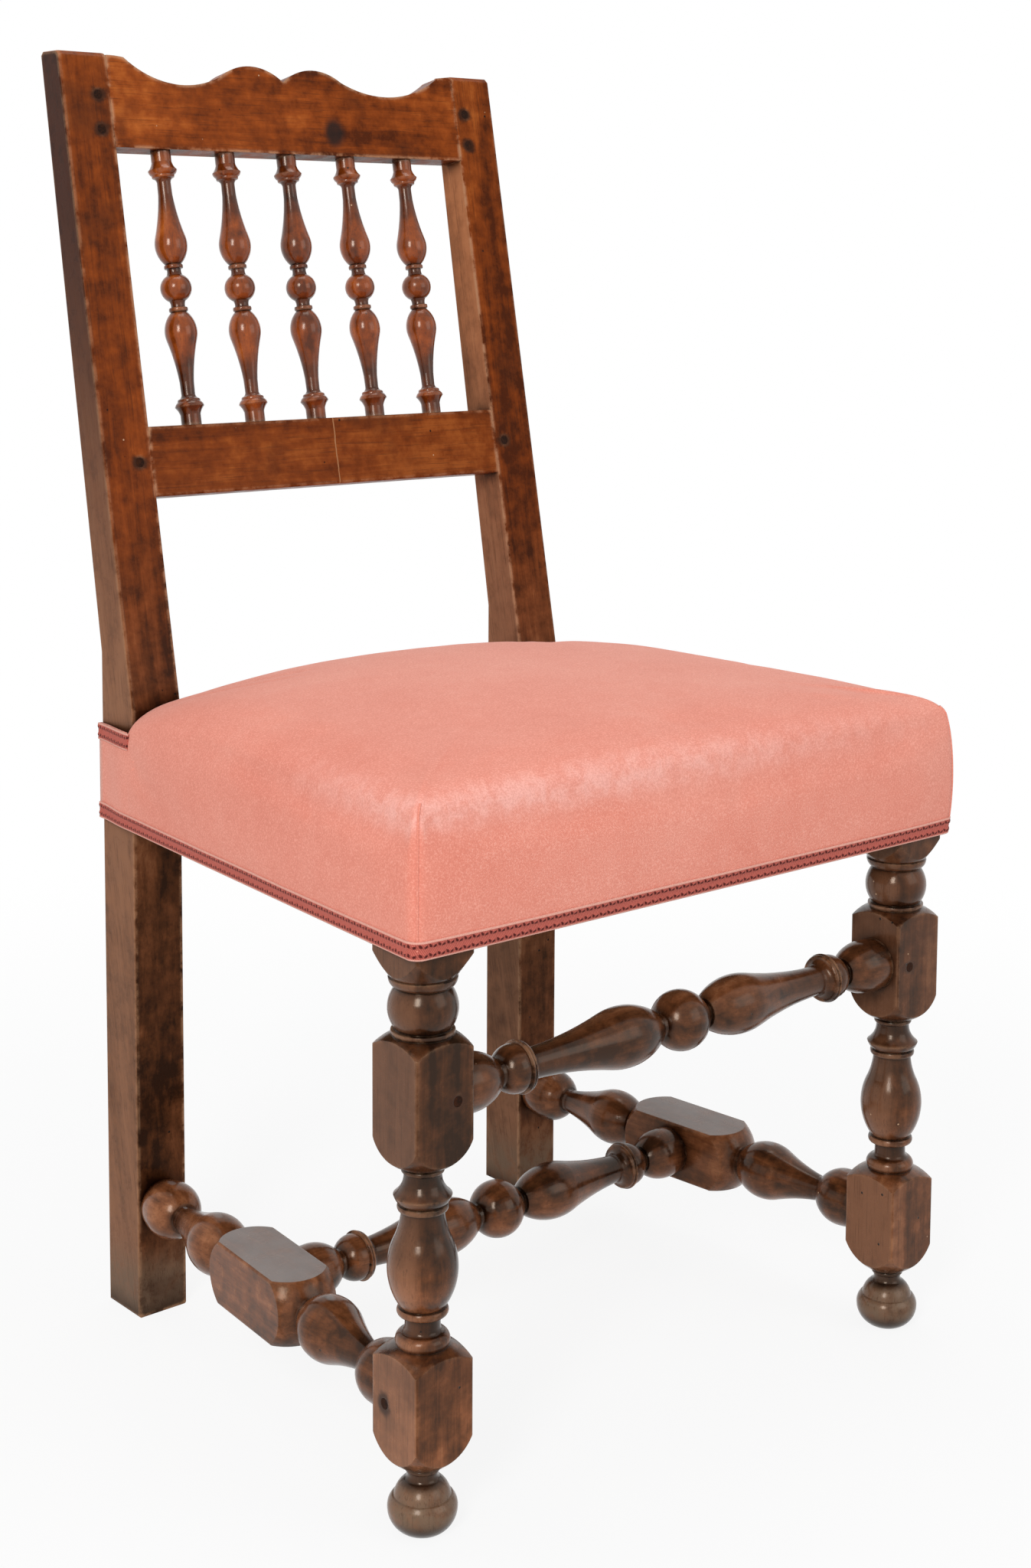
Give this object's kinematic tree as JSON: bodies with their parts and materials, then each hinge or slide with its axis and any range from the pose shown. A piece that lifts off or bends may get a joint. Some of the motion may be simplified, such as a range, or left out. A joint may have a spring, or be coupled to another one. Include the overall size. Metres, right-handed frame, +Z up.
{
  "type": "turned wooden dining chair",
  "caption": "High-backed dining chair in turned walnut with a spindle back, an H-form stretcher frame and a padded, braid-trimmed seat.",
  "frame": {"origin": "on the floor, under the middle of the chair's box", "axes": "+Z up, the chair faces -Y, +X towards the right of a viewer who faces the front of the chair"},
  "size_m": [0.5346, 0.5422, 1],
  "materials": {
    "walnut": "waxed, worn at the edges",
    "peg_wood": "waxed end grain",
    "seat_fabric": "short-pile velvet",
    "braid": "woven gimp braid",
    "webbing": "jute webbing",
    "hessian": "plain-woven hessian",
    "stuffing": "stitched hair stuffing"
  },
  "bodies": {
    "root": {"back_spindle_1": "walnut", "back_spindle_2": "walnut", "back_spindle_3": "walnut", "back_spindle_4": "walnut", "back_spindle_5": "walnut", "base_cloth": "hessian", "braid_front": "braid", "braid_left": "braid", "braid_post_left": "braid", "braid_post_right": "braid", "braid_rear": "braid", "braid_right": "braid", "crest_pegs": "peg_wood", "crest_rail": "walnut", "front_leg_left": "walnut", "front_leg_right": "walnut", "front_stretcher": "walnut", "lower_back_rail": "walnut", "lower_rail_pegs": "peg_wood", "medial_stretcher": "walnut", "rear_post_left": "walnut", "rear_post_right": "walnut", "seat_cover": "seat_fabric", "seat_rail_front": "walnut", "seat_rail_left": "walnut", "seat_rail_rear": "walnut", "seat_rail_right": "walnut", "seat_stuffing": "stuffing", "side_stretcher_left": "walnut", "side_stretcher_right": "walnut", "stretcher_pegs": "peg_wood", "webbing_crosswise": "webbing", "webbing_lengthwise": "webbing"}
  },
  "joints": []
}
